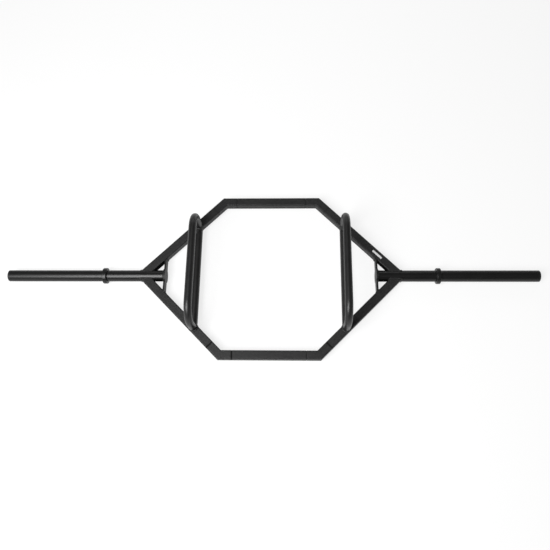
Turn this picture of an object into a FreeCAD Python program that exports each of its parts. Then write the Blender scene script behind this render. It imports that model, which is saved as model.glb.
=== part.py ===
import FreeCAD, Part
import enum
import math
import os
import re
import Sketcher

# Hex trap bar: a welded six-sided frame of square tube that the lifter stands in, with a low and a
# raised grip for each hand, and a fixed sleeve for weight plates on each end.
# X runs along the sleeves, the rails lie at the rear (+Y) and the front (-Y), and Z points up.
# The origin is on the ground under the middle of the bar, which lies on its two collars.

# Driving sizes, in millimetres and degrees.
SIZES = {
    "sleeve_diameter": 50.0,
    "sleeve_wall": 5.0,
    "sleeve_load_length": 428.0,
    "sleeve_reach_inside": 122.0,
    "collar_diameter": 70.0,
    "collar_width": 18.0,
    "collar_rounding": 3.0,
    "collar_stand_off": 132.0,
    "collar_seat_depth": 0.3,
    "cap_thickness": 8.0,
    "cap_rounding": 3.0,
    "cap_plug_length": 22.0,
    "rail_length": 439.0,
    "frame_depth": 747.0,
    "arm_angle": 45.0,
    "tube_width": 38.0,
    "tube_height": 38.0,
    "tube_wall": 3.0,
    "tube_rounding": 5.0,
    "tube_inside_rounding": 2.0,
    "plate_thickness": 8.0,
    "plate_bar_height": 36.0,
    "plate_disc_diameter": 68.0,
    "grip_spacing": 655.0,
    "grip_diameter": 33.0,
    "grip_wall": 3.0,
    "grip_rise": 168.0,
    "grip_bend": 80.0,
    "elbow_rail_length": 62.0,
    "elbow_arm_length": 67.0,
    "seam_rounding": 2.0,
    "fit_gap": 0.3,
}

# Places that follow from the sizes. Each arm X is where a line of an arm crosses the sleeve's axis,
# and heights and Y values are measured from that axis.
PLACES = {
    "arm_outer_x": "rail_length / 2 + frame_depth / 2 / tan(arm_angle)",
    "arm_middle_x": "arm_outer_x - tube_width / 2 / sin(arm_angle)",
    "arm_inner_x": "arm_outer_x - tube_width / sin(arm_angle)",
    "arm_length": "rail_middle_y / sin(arm_angle)",
    "rail_middle_y": "frame_depth / 2 - tube_width / 2",
    "mitre": "tan(arm_angle / 2)",
    "seam_x": "rail_length / 2 - elbow_rail_length",
    "elbow_rail_run": "elbow_rail_length - tube_width / 2 * mitre",
    "elbow_arm_run": "elbow_arm_length - tube_width / 2 * mitre",
    "plate_x": "arm_outer_x - sleeve_reach_inside",
    "plate_half_width": "(arm_inner_x - plate_x) * tan(arm_angle)",
    "collar_x": "arm_outer_x + collar_stand_off",
    "cap_x": "collar_x + collar_width + sleeve_load_length - cap_thickness",
    "grip_x": "grip_spacing / 2",
    "leg_y": "(arm_middle_x - grip_x) * tan(arm_angle)",
    "low_grip_half_length": "(arm_inner_x - grip_x) * tan(arm_angle)",
    "raised_climb": "grip_rise - tube_height / 2",
}

doc = FreeCAD.newDocument("hex_trap_bar")
sheet = doc.addObject("Spreadsheet::Sheet", "Sizes")
for row, (size_name, size) in enumerate(SIZES.items(), start=1):
    sheet.set(f"A{row}", size_name)
    sheet.set(f"B{row}", str(size))
    sheet.setAlias(f"B{row}", size_name)
doc.recompute()


def formula(words):
    """Writes a formula on the sheet's cells, with each place spelled out in sizes."""
    def spell(match):
        word = match.group()
        if word in SIZES:
            return f"Sizes.{word}"
        if word in PLACES:
            return f"({formula(PLACES[word])})"
        return word
    return re.sub(r"[a-z_]+", spell, words)


def number(words):
    return float(sheet.evalExpression(formula(words)))


def bind(feature, target, words):
    feature.setExpression(target, formula(words))


def vector(x, y, z="0"):
    return FreeCAD.Vector(number(x), number(y), number(z))


# Sketches

class Point(enum.IntEnum):
    """The points of a sketch's edge."""
    START = 1
    END = 2
    CENTRE = 3


class Axis(enum.IntEnum):
    """The axes of a sketch, which count as edges."""
    X = -1
    Y = -2


ORIGIN = (Axis.X, Point.START)
X_WAY = FreeCAD.Vector(1, 0, 0)
Y_WAY = FreeCAD.Vector(0, 1, 0)
Z_WAY = FreeCAD.Vector(0, 0, 1)
QUARTER_TURN = math.pi / 2
NEARLY_ZERO = 1e-6


def new_body(name):
    body = doc.addObject("PartDesign::Body", name)
    body.Label = name
    return body


def sketch_on(body, plane):
    sketch = body.newObject("Sketcher::SketchObject", f"{body.Name}_sketch")
    support = next(item for item in body.Origin.OriginFeatures if item.Role == plane)
    sketch.AttachmentSupport = (support, [""])
    sketch.MapMode = "FlatFace"
    return sketch


def relate(sketch, *what):
    """Adds a constraint that has no size."""
    sketch.addConstraint(Sketcher.Constraint(*what))


def constrain(sketch, words, *what):
    """Adds a constraint whose size is a formula."""
    index = sketch.addConstraint(Sketcher.Constraint(*what, number(words)))
    bind(sketch, f"Constraints[{index}]", words)


def place_point(sketch, edge, point, x=None, y=None):
    """Holds an edge's point at an X, a Y or both, measured from the sketch's origin."""
    for words, direction, axis in ((x, "DistanceX", Axis.Y), (y, "DistanceY", Axis.X)):
        if words == "0":
            relate(sketch, "PointOnObject", edge, point, axis)
        elif words:
            constrain(sketch, words, direction, *ORIGIN, edge, point)


def line(sketch, start, finish):
    return sketch.addGeometry(Part.LineSegment(start, finish), False)


def polygon(sketch, corners):
    """Draws a closed outline through corners that are held in place."""
    points = [vector(x, y) for x, y in corners]
    edges = [line(sketch, start, finish) for start, finish in zip(points, points[1:] + points[:1])]
    for edge_before, edge, corner in zip(edges[-1:] + edges, edges, corners):
        relate(sketch, "Coincident", edge_before, Point.END, edge, Point.START)
        place_point(sketch, edge, Point.START, *corner)
    return edges


def circle(sketch, radius):
    """Draws a circle about the sketch's origin."""
    edge = sketch.addGeometry(Part.Circle(vector("0", "0"), Z_WAY, number(radius)), False)
    relate(sketch, "Coincident", edge, Point.CENTRE, *ORIGIN)
    constrain(sketch, radius, "Radius", edge)


def rounded_rectangle(sketch, width, height, radius):
    """Draws a rectangle with round corners about the sketch's origin."""
    r = number(radius)
    centre_x = number(width) / 2 - r
    centre_y = number(height) / 2 - r
    corners = []
    for i, (side, level) in enumerate(((1, 1), (-1, 1), (-1, -1), (1, -1))):
        centre = FreeCAD.Vector(side * centre_x, level * centre_y, 0)
        turn = i * QUARTER_TURN
        corner = Part.ArcOfCircle(Part.Circle(centre, Z_WAY, r), turn, turn + QUARTER_TURN)
        corners.append((sketch.addGeometry(corner, False), corner))
    flats = []
    for (edge, arc), (next_edge, next_arc) in zip(corners, corners[1:] + corners[:1]):
        flat = line(sketch, arc.EndPoint, next_arc.StartPoint)
        relate(sketch, "Tangent", edge, Point.END, flat, Point.START)
        relate(sketch, "Tangent", flat, Point.END, next_edge, Point.START)
        flats.append(flat)
    top, left, bottom, right = flats
    for flat in (top, bottom):
        relate(sketch, "Horizontal", flat)
    for flat in (left, right):
        relate(sketch, "Vertical", flat)
    first_edge = corners[0][0]
    constrain(sketch, radius, "Radius", first_edge)
    for edge, arc in corners[1:]:
        relate(sketch, "Equal", first_edge, edge)
    place_point(sketch, right, Point.START, x=f"({width}) / 2")
    place_point(sketch, left, Point.START, x=f"-({width}) / 2")
    place_point(sketch, top, Point.START, y=f"({height}) / 2")
    place_point(sketch, bottom, Point.START, y=f"-({height}) / 2")


def tube_section(sketch):
    """Draws the wall of the square tube."""
    rounded_rectangle(sketch, "tube_width", "tube_height", "tube_rounding")
    inside_width = "tube_width - 2 * tube_wall"
    inside_height = "tube_height - 2 * tube_wall"
    rounded_rectangle(sketch, inside_width, inside_height, "tube_inside_rounding")


def grip_section(sketch):
    """Draws the wall of the round grip tube."""
    circle(sketch, "grip_diameter / 2")
    circle(sketch, "grip_diameter / 2 - grip_wall")


# Features

def pad(body, sketch, length, back=None, side_type="One side", reversed_way=False):
    feature = body.newObject("PartDesign::Pad", f"{body.Name}_pad")
    feature.Profile = sketch
    feature.SideType = side_type
    feature.Reversed = reversed_way
    bind(feature, "Length", length)
    if back:
        bind(feature, "Length2", back)
    return feature


def cut_through(body, sketch):
    """Cuts a sketch's outline through the whole body, both ways."""
    feature = body.newObject("PartDesign::Pocket", f"{body.Name}_cut")
    feature.Profile = sketch
    feature.SideType = "Symmetric"
    feature.Type = "ThroughAll"


def turn_profile(body, sketch):
    """Turns a profile about the sketch's X axis."""
    feature = body.newObject("PartDesign::Revolution", f"{body.Name}_turning")
    feature.Profile = sketch
    feature.ReferenceAxis = (sketch, ["H_Axis"])
    return feature


def sweep(body, section, route):
    """Carries a section along a route, square to it all the way."""
    feature = body.newObject("PartDesign::AdditivePipe", f"{body.Name}_sweep")
    feature.Profile = section
    feature.Spine = route
    feature.Transition = "Right corner"
    return feature


def round_edges(body, feature, radius, wanted):
    """Rounds the edges that a test picks."""
    doc.recompute()
    edges = enumerate(feature.Shape.Edges, start=1)
    names = [f"Edge{i}" for i, edge in edges if wanted(edge)]
    fillet = body.newObject("PartDesign::Fillet", f"{body.Name}_rounding")
    fillet.Base = (feature, names)
    bind(fillet, "Radius", radius)


def is_rim(edge, radius):
    """Says whether an edge is a circle of this radius."""
    return isinstance(edge.Curve, Part.Circle) and abs(edge.Curve.Radius - radius) < NEARLY_ZERO


def round_seams(body, feature):
    """Rounds the outer rim of each square end of a tube, which is a flat face with a hole."""
    doc.recompute()
    flats = [face for face in feature.Shape.Faces if isinstance(face.Surface, Part.Plane)]
    rims = [edge for face in flats if len(face.Wires) == 2 for edge in face.OuterWire.Edges]
    round_edges(body, feature, "seam_rounding", lambda edge: any(edge.isSame(rim) for rim in rims))


# Pieces

def make_rail(name):
    """Front or rear rail: square tube along X, welded to an elbow at each end."""
    body = new_body(name)
    section = sketch_on(body, "YZ_Plane")
    tube_section(section)
    tube = pad(body, section, "2 * seam_x", side_type="Symmetric")
    round_seams(body, tube)
    return body


def make_arm(name):
    """Diagonal arm: square tube from an elbow to the sleeve's axis, where it is coped to the sleeve."""
    body = new_body(name)
    section = sketch_on(body, "YZ_Plane")
    tube_section(section)
    overlap = "tube_width / 2 / tan(arm_angle)"
    pad(body, section, "arm_length - elbow_arm_run", overlap, "Two sides")
    meeting = sketch_on(body, "XY_Plane")
    past_x = "tube_width / tan(arm_angle)"
    polygon(meeting, [(f"-{past_x}", "-tube_width"), (past_x, "tube_width"), (f"-{past_x}", "tube_width")])
    cut_through(body, meeting)
    cope = sketch_on(body, "XY_Plane")
    reach = "2 * tube_width / sin(arm_angle)"
    radius = "(sleeve_diameter / 2 + fit_gap)"
    axis_x = f"{reach} * cos(arm_angle)"
    axis_y = f"{reach} * sin(arm_angle)"
    side_x = f"{radius} * sin(arm_angle)"
    side_y = f"-{radius} * cos(arm_angle)"
    axis_start = (f"-{axis_x}", f"-{axis_y}")
    axis_end = (axis_x, axis_y)
    side_start = (f"-{axis_x} + {side_x}", f"-{axis_y} + {side_y}")
    side_end = (f"{axis_x} + {side_x}", f"{axis_y} + {side_y}")
    first, *others, last = polygon(cope, [axis_start, side_start, side_end, axis_end])
    axis = cope.addGeometry(Part.LineSegment(vector(*axis_start), vector(*axis_end)), True)
    relate(cope, "Coincident", axis, Point.START, first, Point.START)
    relate(cope, "Coincident", axis, Point.END, last, Point.START)
    groove = body.newObject("PartDesign::Groove", f"{name}_cope")
    groove.Profile = cope
    groove.ReferenceAxis = (cope, ["Axis0"])
    round_seams(body, groove)
    return body


def make_elbow(name):
    """Corner elbow: a mitred length of the square tube between a rail and an arm."""
    body = new_body(name)
    section = sketch_on(body, "YZ_Plane")
    tube_section(section)
    route = sketch_on(body, "XY_Plane")
    corner = ("elbow_rail_run", "0")
    finish = ("elbow_rail_run + elbow_arm_run * cos(arm_angle)", "-elbow_arm_run * sin(arm_angle)")
    along_rail = line(route, vector("0", "0"), vector(*corner))
    along_arm = line(route, vector(*corner), vector(*finish))
    relate(route, "Coincident", along_rail, Point.START, *ORIGIN)
    relate(route, "Coincident", along_rail, Point.END, along_arm, Point.START)
    place_point(route, along_arm, Point.START, *corner)
    place_point(route, along_arm, Point.END, *finish)
    tube = sweep(body, section, route)
    round_seams(body, tube)
    return body


def make_sleeve(name):
    """Plate sleeve: a round tube with a shallow turned seat for the collar."""
    body = new_body(name)
    profile = sketch_on(body, "XY_Plane")
    bore = "sleeve_diameter / 2 - sleeve_wall"
    outside = "sleeve_diameter / 2"
    seat = "sleeve_diameter / 2 - collar_seat_depth"
    seat_start = "collar_x - plate_x"
    seat_end = "collar_x + collar_width - plate_x"
    finish = "cap_x - plate_x"
    polygon(profile, [("0", bore), ("0", outside), (seat_start, outside), (seat_start, seat),
                      (seat_end, seat), (seat_end, outside), (finish, outside), (finish, bore)])
    turn_profile(body, profile)
    return body


def make_collar(name):
    """Collar: a turned ring welded round the sleeve, which stops the plates."""
    body = new_body(name)
    profile = sketch_on(body, "XY_Plane")
    bore = "sleeve_diameter / 2 - collar_seat_depth + fit_gap"
    rim = "collar_diameter / 2"
    polygon(profile, [("0", bore), ("0", rim), ("collar_width", rim), ("collar_width", bore)])
    ring = turn_profile(body, profile)
    round_edges(body, ring, "collar_rounding", lambda edge: is_rim(edge, number(rim)))
    return body


def make_cap(name):
    """End cap: a moulded plug with a rounded rim, pushed into the open end of a sleeve."""
    body = new_body(name)
    profile = sketch_on(body, "XY_Plane")
    plug = "sleeve_diameter / 2 - sleeve_wall - fit_gap"
    rim = "sleeve_diameter / 2"
    polygon(profile, [("-cap_plug_length", "0"), ("-cap_plug_length", plug), ("0", plug), ("0", rim),
                      ("cap_thickness", rim), ("cap_thickness", "0")])
    turning = turn_profile(body, profile)
    face_x = number("cap_thickness")

    def is_face_rim(edge):
        return is_rim(edge, number(rim)) and abs(edge.CenterOfMass.x - face_x) < NEARLY_ZERO

    round_edges(body, turning, "cap_rounding", is_face_rim)
    return body


def make_plate(name):
    """Cross plate: a flat bar between two arms, with a disc that closes the sleeve's inner end."""
    body = new_body(name)
    bar = sketch_on(body, "YZ_Plane")
    end = "(plate_half_width + plate_thickness * tan(arm_angle))"
    edge = "plate_bar_height / 2"
    polygon(bar, [(end, edge), (f"-{end}", edge), (f"-{end}", f"-{edge}"), (end, f"-{edge}")])
    pad(body, bar, "plate_thickness", reversed_way=True)
    disc = sketch_on(body, "YZ_Plane")
    circle(disc, "plate_disc_diameter / 2")
    pad(body, disc, "plate_thickness", reversed_way=True)
    bevels = sketch_on(body, "XY_Plane")
    reach = "2 * plate_thickness"
    for side in ("", "-"):
        wide = f"{side}(plate_half_width + {reach} * tan(arm_angle))"
        narrow = f"{side}(plate_half_width - {reach} * tan(arm_angle))"
        polygon(bevels, [(f"-{reach}", wide), (reach, narrow), (reach, wide)])
    cut_through(body, bevels)
    return body


def make_low_grip(name):
    """Low grip: a straight round tube between the inner faces of two arms."""
    body = new_body(name)
    section = sketch_on(body, "XZ_Plane")
    grip_section(section)
    overlap = "grip_diameter * tan(arm_angle)"
    pad(body, section, f"2 * low_grip_half_length + {overlap}", side_type="Symmetric")
    bevels = sketch_on(body, "XY_Plane")
    for end in ("", "-"):
        far = f"{end}(low_grip_half_length + {overlap})"
        near = f"{end}(low_grip_half_length - {overlap})"
        polygon(bevels, [("-grip_diameter", far), ("grip_diameter", near), ("grip_diameter", far)])
    cut_through(body, bevels)
    return body


def make_raised_grip(name):
    """Raised grip: a round tube bent to a bridge, whose legs stand on two arms."""
    body = new_body(name)
    section = sketch_on(body, "XY_Plane")
    grip_section(section)
    route = sketch_on(body, "YZ_Plane")
    straight = "raised_climb - grip_bend"
    front = "-2 * leg_y"
    rear_foot = vector("0", "0")
    rear_bend_start = vector("0", straight)
    grip_rear = vector("-grip_bend", "raised_climb")
    grip_front = vector(f"{front} + grip_bend", "raised_climb")
    front_bend_end = vector(front, straight)
    front_foot = vector(front, "0")
    bend_middle_in = "grip_bend * (1 - sqrt(0.5))"
    bend_middle_up = f"{straight} + grip_bend * sqrt(0.5)"
    rear_bend_middle = vector(f"-{bend_middle_in}", bend_middle_up)
    front_bend_middle = vector(f"{front} + {bend_middle_in}", bend_middle_up)
    rear_leg = line(route, rear_foot, rear_bend_start)
    rear_bend = route.addGeometry(Part.Arc(rear_bend_start, rear_bend_middle, grip_rear), False)
    grip = line(route, grip_rear, grip_front)
    front_bend = route.addGeometry(Part.Arc(grip_front, front_bend_middle, front_bend_end), False)
    front_leg = line(route, front_bend_end, front_foot)
    edges = (rear_leg, rear_bend, grip, front_bend, front_leg)
    for edge, next_edge in zip(edges, edges[1:]):
        relate(route, "Tangent", edge, Point.END, next_edge, Point.START)
    for leg in (rear_leg, front_leg):
        relate(route, "Vertical", leg)
    relate(route, "Horizontal", grip)
    constrain(route, "grip_bend", "Radius", rear_bend)
    relate(route, "Equal", rear_bend, front_bend)
    relate(route, "Coincident", rear_leg, Point.START, *ORIGIN)
    place_point(route, grip, Point.START, y="raised_climb")
    place_point(route, front_leg, Point.END, front, "0")
    sweep(body, section, route)
    return body


# Assembly: each piece is made in the right rear quarter, then turned about the middle of the frame.

UNTURNED = FreeCAD.Rotation()
HALF_TURN = FreeCAD.Rotation(Z_WAY, 180)
SIDES = {"right": UNTURNED, "left": HALF_TURN}
ENDS = {"rear": UNTURNED, "front": HALF_TURN}
QUARTERS = {
    "right_rear": UNTURNED,
    "right_front": FreeCAD.Rotation(X_WAY, 180),
    "left_front": HALF_TURN,
    "left_rear": FreeCAD.Rotation(Y_WAY, 180),
}


def seat(body, turn, x="0", y="0", z="0", spin="0"):
    """Puts a piece at its place in the right rear quarter, and turns it to its own quarter."""
    place = FreeCAD.Placement(vector(x, y, z), FreeCAD.Rotation(Z_WAY, number(spin)))
    middle = FreeCAD.Placement(vector("0", "0", "collar_diameter / 2"), turn)
    body.Placement = middle.multiply(place)


for end, turn in ENDS.items():
    seat(make_rail(f"{end}_rail"), turn, y="rail_middle_y")

for quarter, turn in QUARTERS.items():
    seat(make_arm(f"{quarter}_arm"), turn, x="arm_middle_x", spin="180 - arm_angle")
    seat(make_elbow(f"{quarter}_elbow"), turn, x="seam_x", y="rail_middle_y")

for side, turn in SIDES.items():
    seat(make_sleeve(f"{side}_sleeve_tube"), turn, x="plate_x")
    seat(make_collar(f"{side}_sleeve_collar"), turn, x="collar_x")
    seat(make_cap(f"{side}_sleeve_end_cap"), turn, x="cap_x")
    seat(make_plate(f"{side}_cross_plate"), turn, x="plate_x")
    seat(make_low_grip(f"{side}_low_grip"), turn, x="grip_x")
    seat(make_raised_grip(f"{side}_raised_grip"), turn, x="grip_x", y="leg_y", z="tube_height / 2")

doc.recompute()
for item in doc.Objects:
    if "Invalid" in item.State or "Error" in item.State:
        raise RuntimeError(f"{item.Label} failed: {item.State}")

bodies = [item for item in doc.Objects if item.TypeId == "PartDesign::Body"]
for body in bodies:
    if body.Shape.isNull() or not body.Shape.isValid() or len(body.Shape.Solids) != 1:
        raise RuntimeError(f"{body.Label} is not one valid solid")

os.makedirs("parts", exist_ok=True)
for body in bodies:
    body.Shape.exportStep(f"parts/{body.Label}.step")
    print(f"{body.Label}: {body.Shape.Volume / 1000:.1f} cm3")
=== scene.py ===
import math
import bmesh
import bpy
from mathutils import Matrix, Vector


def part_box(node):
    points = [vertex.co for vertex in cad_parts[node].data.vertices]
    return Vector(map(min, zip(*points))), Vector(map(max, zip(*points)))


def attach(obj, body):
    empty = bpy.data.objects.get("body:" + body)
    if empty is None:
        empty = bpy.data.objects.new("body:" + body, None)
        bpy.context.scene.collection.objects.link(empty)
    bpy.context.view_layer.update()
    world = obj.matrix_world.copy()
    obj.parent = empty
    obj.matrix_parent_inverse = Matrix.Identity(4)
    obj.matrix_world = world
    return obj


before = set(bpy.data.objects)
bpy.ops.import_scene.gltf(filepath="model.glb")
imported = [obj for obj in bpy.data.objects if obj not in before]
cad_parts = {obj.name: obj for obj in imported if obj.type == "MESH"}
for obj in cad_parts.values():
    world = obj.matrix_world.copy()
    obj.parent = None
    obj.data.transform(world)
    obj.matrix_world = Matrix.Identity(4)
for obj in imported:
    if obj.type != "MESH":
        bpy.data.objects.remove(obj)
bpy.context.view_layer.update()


# Rails, arms and elbows
# The six sides of the frame are 38 mm square steel tube. Mitred elbows are welded in at the corners,
# where a narrow groove shows; the grooves get a painted shade, fainter at the rear and on the rails
# only at the left. All of it has one black powder coat, matte with a fine texture, lighter on the flat
# tops than on the rounded edges and sides. A dull black painted shade fills the closed corners beside
# the sleeves.

QUARTERS = {"right_rear": (1, 1), "right_front": (1, -1), "left_rear": (-1, 1), "left_front": (-1, -1)}
SIDES = {"right": 1, "left": -1}
FRAME_GRAIN = 0.0013
FRAME_MOTTLE = 0.0024
FRAME_CLOUD = 0.06
# Coat tones: the first for the rounded edges and sides, the lighter second for the flat tops of the
# tubes.
BASE_COAT = (0.003, 0.010)
TOP_FACE_COAT = (0.007, 0.020)
# Painted shade in the seam grooves.
SEAM_SHADE_BLACK = 0.001
# The dull black painted shade in the closed corners beside the sleeves.
CORNER_SHADE_BLACK = 0.0015

rail_low, rail_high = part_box("rear_rail")
TUBE_WIDTH = rail_high[2] - rail_low[2]
TUBE_ROUNDING = 0.005
TUBE_TOP = rail_high[2]
AXIS_HEIGHT = (rail_low[2] + rail_high[2]) / 2
SEAM_X = rail_high[0]
ELBOW_RAIL_LENGTH = 0.062
ARM_OUTSIDE = SEAM_X + ELBOW_RAIL_LENGTH + rail_high[1]
ARM_MIDDLE = ARM_OUTSIDE - TUBE_WIDTH / math.sqrt(2)
ARM_SEAM = -0.0419
SEAM_WIDTH = 0.0065
# How much fainter the painted seam shade is at the rear.
REAR_SEAM_FADE = 0.8
ARM_INSIDE = ARM_OUTSIDE - TUBE_WIDTH * math.sqrt(2)
plate_low, plate_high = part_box("right_cross_plate")


class Tone:
    """A value, colour or vector in a node tree. Arithmetic on values adds Math nodes."""

    def __init__(self, tree, socket=None):
        self.tree = tree
        self.socket = socket

    def node(self, kind, settings=None, sockets=None, output=0):
        """Adds a node: its settings first, then the values or links of its sockets."""
        made = self.tree.nodes.new(kind)
        for name, value in (settings or {}).items():
            setattr(made, name, value)
        for name, value in (sockets or {}).items():
            if isinstance(value, Tone):
                self.tree.links.new(value.socket, made.inputs[name])
            else:
                made.inputs[name].default_value = value
        return Tone(self.tree, made.outputs[output] if len(made.outputs) else None)

    def maths(self, operation, first, second=0.0):
        """One Math node on two values, either of them a plain number."""
        return self.node("ShaderNodeMath", {"operation": operation}, {0: first, 1: second})

    def __add__(self, other):
        return self.maths("ADD", self, other)

    def __sub__(self, other):
        return self.maths("SUBTRACT", self, other)

    def __rsub__(self, other):
        return self.maths("SUBTRACT", other, self)

    def __mul__(self, other):
        return self.maths("MULTIPLY", self, other)

    def __truediv__(self, other):
        return self.maths("DIVIDE", self, other)

    __radd__ = __add__
    __rmul__ = __mul__

    def between(self, first, second):
        """Goes from the first colour to the second as this value goes from 0 to 1."""
        return self.node("ShaderNodeMix", {"data_type": "RGBA"}, {0: self, 6: first, 7: second}, 2)


def grey(level):
    return (level, level, level, 1.0)


def shade(value, levels):
    """A grey that goes from the first level to the second as a value goes from 0 to 1."""
    first, second = levels
    return value.between(grey(first), grey(second))


def open_finish(name):
    """An empty material, and the place on the piece in metres."""
    finish = bpy.data.materials.new(name)
    finish.use_nodes = True
    finish.node_tree.nodes.clear()
    return finish, Tone(finish.node_tree).node("ShaderNodeTexCoord", output="Object")


def noise(place, size, detail=2.0):
    sockets = {"Vector": place, "Scale": 1 / size, "Detail": detail}
    return place.node("ShaderNodeTexNoise", None, sockets, "Fac")


def spread(value, low, high):
    """Stretches a value so that low becomes 0 and high becomes 1."""
    sockets = {"Value": value, "From Min": low, "From Max": high}
    return value.node("ShaderNodeMapRange", None, sockets)


def relief(height, depth, strength):
    sockets = {"Height": height, "Distance": depth, "Strength": strength}
    return height.node("ShaderNodeBump", None, sockets)


def close_finish(place, painted_shade=None, **sockets):
    """Ends a material in one shader, with a dull black painted shade mixed in where the shade mask is
    1.

    The sockets' names take _ for spaces.
    """
    named = {name.replace("_", " "): value for name, value in sockets.items()}
    shader = place.node("ShaderNodeBsdfPrincipled", None, named)
    if painted_shade:
        dull = {"Base Color": grey(CORNER_SHADE_BLACK), "Roughness": 1.0, "Specular IOR Level": 0.05}
        black = place.node("ShaderNodeBsdfPrincipled", None, dull)
        shader = place.node("ShaderNodeMixShader", None, {0: painted_shade, 1: shader, 2: black})
    place.node("ShaderNodeOutputMaterial", None, {"Surface": shader})


def part_of(place, name):
    """One coordinate of a place."""
    return place.node("ShaderNodeSeparateXYZ", None, {"Vector": place}, name)


def size_of(value):
    """A value without its sign."""
    return value.maths("ABSOLUTE", value)


def inside_point(place, start):
    """1 in the frame's two points, from this far out of the middle up to the arms' inner faces."""
    side = size_of(part_of(place, "X"))
    reach = side + size_of(part_of(place, "Y"))
    before_arm = spread(reach, ARM_INSIDE + 0.004, ARM_INSIDE + 0.002)
    return spread(side, start - 0.001, start + 0.001) * before_arm


def corner_shade_mask(place, top):
    """1 where the dull black painted shade goes: between cross plate, arm and sleeve, below a height.
    """
    return inside_point(place, plate_high[0]) * spread(part_of(place, "Z"), top, top - 0.002)


def seam(distance):
    """1 on a seam, from the distance to its middle."""
    return spread(size_of(distance), 0.6 * SEAM_WIDTH, 0.4 * SEAM_WIDTH)


def make_frame_coat():
    finish, place = open_finish("frame_coat")
    grain = noise(place, FRAME_GRAIN)
    mottle = spread(noise(place, FRAME_MOTTLE, 1.0), 0.35, 0.65)
    cloud = spread(noise(place, FRAME_CLOUD, 1.0), 0.3, 0.7)
    tint = 0.85 * mottle + 0.15 * cloud
    colour = shade(tint, BASE_COAT)
    # Lighter on the flat tops of the tubes than on their rounded edges and sides, but not within the
    # frame's points.
    height = part_of(place, "Z")
    top_face = spread(height, TUBE_TOP - 0.6 * TUBE_ROUNDING, TUBE_TOP - 0.1 * TUBE_ROUNDING)
    top_face = top_face * (1 - inside_point(place, plate_low[0]))
    colour = top_face.between(colour, shade(tint, TOP_FACE_COAT))
    across = part_of(place, "X")
    side = size_of(across)
    depth = part_of(place, "Y")
    end = size_of(depth)
    # The seam grooves get a painted shade: on the rails only at the left, and fainter at the rear.
    rail_seam_shade = seam(side - SEAM_X) * spread(across, 0.1, -0.1)
    arm_seam_shade = seam((side - end) / math.sqrt(2) - ARM_SEAM)
    rear_seam_fade = spread(depth, -0.1, 0.1) * REAR_SEAM_FADE
    coat = 1 - side.maths("MAXIMUM", rail_seam_shade, arm_seam_shade) * (1 - rear_seam_fade)
    close_finish(
        place,
        # A dull black painted shade in the closed corners beside the sleeves.
        corner_shade_mask(place, TUBE_TOP - 0.4 * TUBE_ROUNDING),
        Base_Color=coat.between(grey(SEAM_SHADE_BLACK), colour),
        Roughness=0.9 - coat * (0.50 - 0.12 * mottle - 0.06 * cloud),
        Specular_IOR_Level=0.3,
        Normal=relief(0.3 * grain + 0.7 * mottle, 0.0004, 1.0),
    )
    return finish


def dress(finish, *names):
    """Puts a finish on CAD nodes."""
    for name in names:
        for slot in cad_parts[name].material_slots:
            slot.material = finish


frame_coat = make_frame_coat()
dress(frame_coat, "front_rail", "rear_rail")
for quarter in QUARTERS:
    dress(frame_coat, f"{quarter}_arm", f"{quarter}_elbow")


# Cross plates
# An 8 mm steel plate stands across each point of the frame: a flat bar from arm to arm, with a round
# disc in its middle that closes the sleeve's inner end. It is welded on and coated with the frame.

dress(frame_coat, *(f"{side}_cross_plate" for side in SIDES))


# Sleeves and collars
# Each end of the bar is a round steel tube for weight plates, with a turned steel ring on it as the
# stop. Both have a smooth satin black coat, with the faint rings that turning leaves.

SLEEVE_RADIUS = 0.025
TURNING_PITCH = 0.0007
SLEEVE_CLOUD = 0.09
SLEEVE_COAT = (0.003, 0.007)
SCUFFED_FROM = 0.5
SCUFFED_TO = 1.1


def make_sleeve_coat():
    finish, place = open_finish("sleeve_coat")
    cloud = noise(place, SLEEVE_CLOUD, 3.0)
    stretch = {"Vector": place, "Scale": (1.0, 0.02, 0.02)}
    along = place.node("ShaderNodeMapping", None, stretch)
    rings = noise(along, TURNING_PITCH)
    scuffed = spread(size_of(part_of(place, "X")), SCUFFED_FROM, SCUFFED_TO)
    close_finish(
        place,
        # The same dull black painted shade on the sleeve, in the closed corners.
        corner_shade_mask(place, AXIS_HEIGHT + 0.6 * SLEEVE_RADIUS),
        Base_Color=shade(cloud, SLEEVE_COAT),
        Roughness=0.25 + 0.10 * scuffed + 0.06 * cloud + 0.06 * rings,
        Specular_IOR_Level=0.36,
        Normal=relief(rings, 0.00005, 0.3),
    )
    return finish


sleeve_coat = make_sleeve_coat()
for side in SIDES:
    dress(sleeve_coat, f"{side}_sleeve_tube", f"{side}_sleeve_collar")


# Sleeve end caps
# A moulded black plastic cap closes each sleeve. Its plug is pushed into the tube, and its rim has the
# tube's own diameter, so that plates slide over it.

CAP_GRAIN = 0.0009
CAP_COLOUR = (0.010, 0.018)


def make_cap_plastic():
    finish, place = open_finish("cap_plastic")
    grain = noise(place, CAP_GRAIN)
    cloud = noise(place, SLEEVE_CLOUD)
    close_finish(
        place,
        Base_Color=shade(cloud, CAP_COLOUR),
        Roughness=0.38 + 0.14 * grain,
        Specular_IOR_Level=0.3,
        Normal=relief(grain, 0.00006, 0.4),
    )
    return finish


cap_plastic = make_cap_plastic()
dress(cap_plastic, *(f"{side}_sleeve_end_cap" for side in SIDES))


# Low and raised grips
# Round steel tubes, 33 mm across, welded to the arms: a straight one in the frame's plane and one bent
# to a bridge over it. They have a smooth satin coat with no knurling.

GRIP_RADIUS = 0.0165
GRIP_CLOUD = 0.05
GRIP_COAT = (0.004, 0.010)


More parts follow.
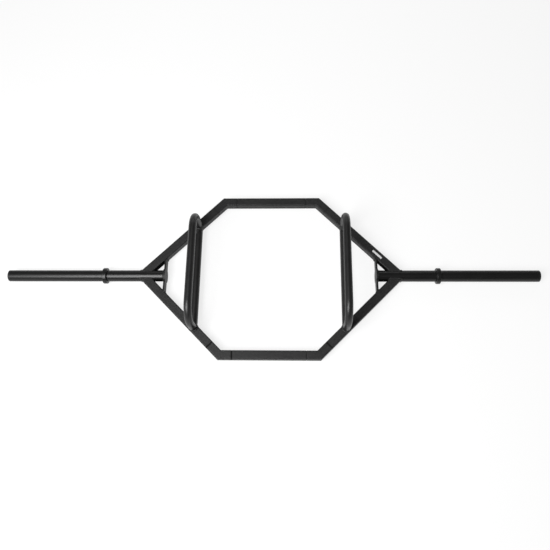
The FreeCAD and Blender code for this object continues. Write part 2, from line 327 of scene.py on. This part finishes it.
def make_grip_coat():
    finish, place = open_finish("grip_coat")
    cloud = noise(place, GRIP_CLOUD, 3.0)
    grain = noise(place, FRAME_GRAIN)
    close_finish(
        place,
        Base_Color=shade(cloud, GRIP_COAT),
        Roughness=0.35 + 0.10 * cloud,
        Specular_IOR_Level=0.46,
        Normal=relief(grain, 0.00006, 0.3),
    )
    return finish


grip_coat = make_grip_coat()
for side in SIDES:
    dress(grip_coat, f"{side}_low_grip", f"{side}_raised_grip")


# Weld beads
# The tubes and plates are joined by fillet welds, which show as low rippled beads under the coat: round
# the grips' feet and ends, the arms' ends on the sleeve, and the cross plates.

BEAD_RADIUS = 0.0032
BEAD_STAND_OFF = 0.0010
BEAD_SIDES = 9
RIPPLE_LENGTH = 0.0032
RIPPLE_DEPTH = 0.16
UNEVENNESS = 0.35
LUMP_SIZE = 0.011
RING_POINTS = 72
CORNER_STEPS = 6
PLATE_END_HALF = 0.018
PLATE_END_ROUNDING = 0.002


def make_bead_tree():
    """The tree that lays a bead of weld along each line of a path."""
    tree = bpy.data.node_groups.new("weld_bead", "GeometryNodeTree")
    kinds = {
        "Path": "NodeSocketGeometry",
        "Bead radius": "NodeSocketFloat",
        "Ripple length": "NodeSocketFloat",
        "Ripple depth": "NodeSocketFloat",
        "Unevenness": "NodeSocketFloat",
        "Seed": "NodeSocketFloat",
        "Finish": "NodeSocketMaterial",
    }
    for name, kind in kinds.items():
        tree.interface.new_socket(name, in_out="INPUT", socket_type=kind)
    tree.interface.new_socket("Bead", in_out="OUTPUT", socket_type="NodeSocketGeometry")
    start = tree.nodes.new("NodeGroupInput")
    given = {name: Tone(tree, start.outputs[name]) for name in kinds}
    step = given["Ripple length"] * 0.25
    steps = {"Curve": given["Path"], "Length": step}
    path = step.node("GeometryNodeResampleCurve", {"mode": "LENGTH"}, steps)
    along = path.node("GeometryNodeSplineParameter", output="Length")
    wave = along.maths("SINE", along * math.pi / given["Ripple length"])
    ripple = wave.maths("ABSOLUTE", wave)
    place = path.node("GeometryNodeInputPosition")
    lump_sockets = {"Vector": place, "W": given["Seed"], "Scale": 1 / LUMP_SIZE, "Detail": 1.0}
    lump = path.node("ShaderNodeTexNoise", {"noise_dimensions": "4D"}, lump_sockets, "Fac")
    size = 1 - given["Ripple depth"] * (1 - ripple) + given["Unevenness"] * (lump - 0.5)
    ring_sockets = {"Resolution": BEAD_SIDES, "Radius": given["Bead radius"]}
    ring = path.node("GeometryNodeCurvePrimitiveCircle", None, ring_sockets)
    swept = {"Curve": path, "Profile Curve": ring, "Scale": size, "Fill Caps": True}
    bead = path.node("GeometryNodeCurveToMesh", None, swept)
    whole = bead.node("GeometryNodeRealizeInstances", None, {"Geometry": bead})
    coated = {"Geometry": whole, "Material": given["Finish"]}
    dressed = whole.node("GeometryNodeSetMaterial", None, coated)
    dressed.node("NodeGroupOutput", None, {"Bead": dressed})
    return tree


bead_tree = make_bead_tree()


def add_piece(name, mesh):
    """Adds a finished mesh as a piece of the bar."""
    piece = bpy.data.objects.new(name, mesh)
    bpy.context.scene.collection.objects.link(piece)
    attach(piece, "root")
    return piece


def lay_beads(name, paths, seed, finish):
    """Lays beads along closed paths and keeps them as one plain mesh."""
    line = bpy.data.curves.new(name + "_path", "CURVE")
    line.dimensions = "3D"
    for path in paths:
        spline = line.splines.new("POLY")
        spline.points.add(len(path) - 1)
        for point, spot in zip(spline.points, path):
            point.co = (*spot, 1.0)
        spline.use_cyclic_u = True
    drawn = bpy.data.objects.new(name + "_path", line)
    bpy.context.scene.collection.objects.link(drawn)
    modifier = drawn.modifiers.new("bead", "NODES")
    modifier.node_group = bead_tree
    values = {
        "Bead radius": BEAD_RADIUS,
        "Ripple length": RIPPLE_LENGTH,
        "Ripple depth": RIPPLE_DEPTH,
        "Unevenness": UNEVENNESS,
        "Seed": seed,
        "Finish": finish,
    }
    for item in bead_tree.interface.items_tree:
        if item.name in values:
            modifier[item.identifier] = values[item.name]
    ready = drawn.evaluated_get(bpy.context.evaluated_depsgraph_get())
    mesh = bpy.data.meshes.new_from_object(ready)
    mesh.shade_smooth()
    bpy.data.objects.remove(drawn)
    return add_piece(name, mesh)


def edge_drop(offset):
    """How far the tube's rounded edge falls below its flat face, this far from the face's middle."""
    past = min(max(abs(offset) - (TUBE_WIDTH / 2 - TUBE_ROUNDING), 0.0), TUBE_ROUNDING)
    return TUBE_ROUNDING - math.sqrt(TUBE_ROUNDING ** 2 - past ** 2)


def circle(radius):
    turns = [2 * math.pi * step / RING_POINTS for step in range(RING_POINTS)]
    return [(radius * math.cos(turn), radius * math.sin(turn)) for turn in turns]


def rectangle(half_width, half_height, rounding):
    """A rounded rectangle about the origin, from its half sizes."""
    outline = []
    for corner, (side, end) in enumerate(((1, 1), (-1, 1), (-1, -1), (1, -1))):
        for step in range(CORNER_STEPS + 1):
            turn = (corner + step / CORNER_STEPS) * math.pi / 2
            across = side * (half_width - rounding) + rounding * math.cos(turn)
            upward = end * (half_height - rounding) + rounding * math.sin(turn)
            outline.append((across, upward))
    return outline


def on_arm_inside(middle_x, outline):
    """Puts an outline, drawn in x and z about the axis, onto the inner face of the right rear arm."""
    path = []
    for across, upward in outline:
        x = middle_x + across
        path.append((x, ARM_INSIDE - x + edge_drop(upward) * math.sqrt(2), AXIS_HEIGHT + upward))
    return path


def round_grip_foot(grip_x):
    """A ring on top of the right rear arm, round the foot of the raised grip."""
    path = []
    for across, back in circle(GRIP_RADIUS + BEAD_STAND_OFF):
        height = TUBE_TOP + 0.5 * BEAD_STAND_OFF - edge_drop((across + back) / math.sqrt(2))
        path.append((grip_x + across, ARM_MIDDLE - grip_x + back, height))
    return path


def round_arm_end():
    """The line on which the right rear arm meets the sleeve."""
    half = TUBE_WIDTH / 2 + BEAD_STAND_OFF
    path = []
    for across, upward in rectangle(half, half, TUBE_ROUNDING):
        y = math.sqrt((SLEEVE_RADIUS + BEAD_STAND_OFF) ** 2 - upward ** 2)
        path.append((ARM_MIDDLE + across * math.sqrt(2) - y, y, AXIS_HEIGHT + upward))
    return path


def round_sleeve(x):
    """A ring round the right sleeve."""
    return [(x, y, AXIS_HEIGHT + z) for y, z in circle(SLEEVE_RADIUS + BEAD_STAND_OFF)]


def mirrored(path, side, end):
    return [(side * x, end * y, z) for x, y, z in path]


grip_low, grip_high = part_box("right_low_grip")
grip_x = (grip_low[0] + grip_high[0]) / 2
plate_x = (plate_low[0] + plate_high[0]) / 2
plate_half = (plate_high[0] - plate_low[0]) / 2

foot_path = round_grip_foot(grip_x)
low_end_path = on_arm_inside(grip_x, circle(GRIP_RADIUS + BEAD_STAND_OFF))
plate_end_outline = rectangle(plate_half + BEAD_STAND_OFF, PLATE_END_HALF, PLATE_END_ROUNDING)
plate_end_path = on_arm_inside(plate_x, plate_end_outline)
arm_end_path = round_arm_end()
sleeve_end_path = round_sleeve(plate_high[0] + BEAD_STAND_OFF)

frame_paths = []
grip_paths = []
for side, end in QUARTERS.values():
    grip_paths += [mirrored(foot_path, side, end), mirrored(low_end_path, side, end)]
    frame_paths += [mirrored(plate_end_path, side, end), mirrored(arm_end_path, side, end)]
for side in SIDES.values():
    frame_paths.append(mirrored(sleeve_end_path, side, 1))
lay_beads("frame_weld_beads", frame_paths, 3.0, frame_coat)
lay_beads("grip_weld_beads", grip_paths, 11.0, grip_coat)


# Blank strip
# A small pale strip of film lies on the right rear arm. It is left blank.

STRIP_LENGTH = 0.052
STRIP_WIDTH = 0.0095
STRIP_THICKNESS = 0.0004
STRIP_ROUNDING = 0.0015
STRIP_BEVEL = 0.0003
STRIP_X = 0.4715
STRIP_FLECK = 0.002
STRIP_COLOUR = (0.62, 0.74)


def make_strip_film():
    finish, place = open_finish("strip_film")
    fleck = noise(place, STRIP_FLECK, 3.0)
    close_finish(
        place,
        Base_Color=shade(fleck, STRIP_COLOUR),
        Roughness=0.34 + 0.12 * fleck,
        Specular_IOR_Level=0.3,
        Normal=relief(fleck, 0.00004, 0.3),
    )
    return finish


def make_strip():
    build = bmesh.new()
    outline = rectangle(STRIP_LENGTH / 2, STRIP_WIDTH / 2, STRIP_ROUNDING)
    layers = ((0.0, 0.0), (0.75 * STRIP_THICKNESS, 0.0), (STRIP_THICKNESS, STRIP_BEVEL))
    along = Vector((1.0, -1.0, 0.0)).normalized()
    across = Vector((1.0, 1.0, 0.0)).normalized()
    middle = Vector((STRIP_X, ARM_MIDDLE - STRIP_X, TUBE_TOP))
    rings = []
    for height, inset in layers:
        ring = []
        for run, width in outline:
            shrink_run = run * (1 - 2 * inset / STRIP_LENGTH)
            shrink_width = width * (1 - 2 * inset / STRIP_WIDTH)
            spot = middle + along * shrink_run + across * shrink_width + Vector((0, 0, height))
            ring.append(build.verts.new(spot))
        rings.append(ring)
    for lower, upper in zip(rings, rings[1:]):
        for index in range(len(lower)):
            after = (index + 1) % len(lower)
            build.faces.new((lower[index], lower[after], upper[after], upper[index]))
    build.faces.new(rings[-1])
    build.faces.new(reversed(rings[0]))
    bmesh.ops.recalc_face_normals(build, faces=build.faces)
    mesh = bpy.data.meshes.new("blank_strip")
    build.to_mesh(mesh)
    build.free()
    mesh.materials.append(make_strip_film())
    return mesh


add_piece("blank_strip", make_strip())


# Floor, backdrop and lights
# A white floor under a plain soft light: one softbox at the left, two dim panels overhead and behind,
# and an even surround that is paler at the horizon than above.

FLOOR_HALF = 40.0
FLOOR_PAINT = 0.85
FLOOR_GLOW = 0.75
GLOW_STRENGTH = 1.05
KEY_PLACE = (-1.4, -1.45, 2.9)
KEY_SIZE = (1.7, 2.4)
KEY_RADIANCE = 10.0
PANEL_PLACE = (-0.6, 0.55, 3.2)
PANEL_SIZE = (1.8, 1.4)
PANEL_RADIANCE = 0.5
REAR_PLACE = (0.0, 2.6, 1.6)
REAR_SIZE = (2.8, 1.0)
REAR_RADIANCE = 1.0
HORIZON_LEVEL = 0.35
ZENITH_LEVEL = 0.13
HORIZON_TOP = 0.12
ZENITH_START = 0.4


def make_floor():
    """A wide plain floor. Part of its white is its own glow, and the rest shows the bar's shadow."""
    mesh = bpy.data.meshes.new("floor")
    corners = [(-1, -1), (1, -1), (1, 1), (-1, 1)]
    spots = [(FLOOR_HALF * x, FLOOR_HALF * y, 0.0) for x, y in corners]
    mesh.from_pydata(spots, [], [(0, 1, 2, 3)])
    finish, place = open_finish("floor_white")
    camera = place.node("ShaderNodeLightPath", output="Is Camera Ray")
    glossy = place.node("ShaderNodeLightPath", output="Is Glossy Ray")
    through = place.node("ShaderNodeLightPath", output="Is Transmission Ray")
    seen = camera.maths("MAXIMUM", camera, glossy.maths("MAXIMUM", glossy, through))
    plain = place.node("ShaderNodeBsdfDiffuse", None, {"Color": grey(FLOOR_PAINT)})
    glow = place.node("ShaderNodeEmission", None, {"Color": grey(1.0), "Strength": GLOW_STRENGTH})
    mixed = place.node("ShaderNodeMixShader", None, {0: FLOOR_GLOW * seen, 1: plain, 2: glow})
    place.node("ShaderNodeOutputMaterial", None, {"Surface": mixed})
    mesh.materials.append(finish)
    floor = bpy.data.objects.new("floor", mesh)
    bpy.context.scene.collection.objects.link(floor)


def add_softbox(name, place, size, radiance):
    """A flat light aimed at the middle of the bar, from the brightness of its face."""
    lamp = bpy.data.lights.new(name, "AREA")
    lamp.shape = "RECTANGLE"
    lamp.size, lamp.size_y = size
    lamp.energy = 4 * radiance * size[0] * size[1]
    light = bpy.data.objects.new(name, lamp)
    light.location = place
    light.rotation_euler = (-Vector(place)).to_track_quat("-Z", "Y").to_euler()
    bpy.context.scene.collection.objects.link(light)


def set_world():
    world = bpy.data.worlds.new("studio")
    world.use_nodes = True
    world.node_tree.nodes.clear()
    heading = Tone(world.node_tree).node("ShaderNodeTexCoord", output="Generated")
    climb = spread(part_of(heading, "Z"), HORIZON_TOP, ZENITH_START)
    colour = climb.between(grey(HORIZON_LEVEL), grey(ZENITH_LEVEL))
    sky = colour.node("ShaderNodeBackground", None, {"Color": colour, "Strength": 1.0})
    sky.node("ShaderNodeOutputWorld", None, {"Surface": sky})
    bpy.context.scene.world = world


make_floor()
add_softbox("key_softbox", KEY_PLACE, KEY_SIZE, KEY_RADIANCE)
add_softbox("top_panel", PANEL_PLACE, PANEL_SIZE, PANEL_RADIANCE)
add_softbox("rear_panel", REAR_PLACE, REAR_SIZE, REAR_RADIANCE)
set_world()


# Camera
# The photograph was taken from above and in front, a little right of the middle. Place, angles and lens
# were fitted to the bar's outline in it.

CAMERA_PLACE = (0.10673, -0.81188, 2.40881)
CAMERA_ANGLES = (18.9915, 1.8404, 0.6755)
CAMERA_LENS = 37.153
SENSOR_WIDTH = 36.0

view = bpy.data.cameras.new("photo_camera")
view.sensor_fit = "HORIZONTAL"
view.sensor_width = SENSOR_WIDTH
view.lens = CAMERA_LENS
camera = bpy.data.objects.new("photo_camera", view)
camera.location = CAMERA_PLACE
camera.rotation_euler = [math.radians(angle) for angle in CAMERA_ANGLES]
bpy.context.scene.collection.objects.link(camera)
bpy.context.scene.camera = camera
bpy.context.scene.view_settings.view_transform = "Standard"
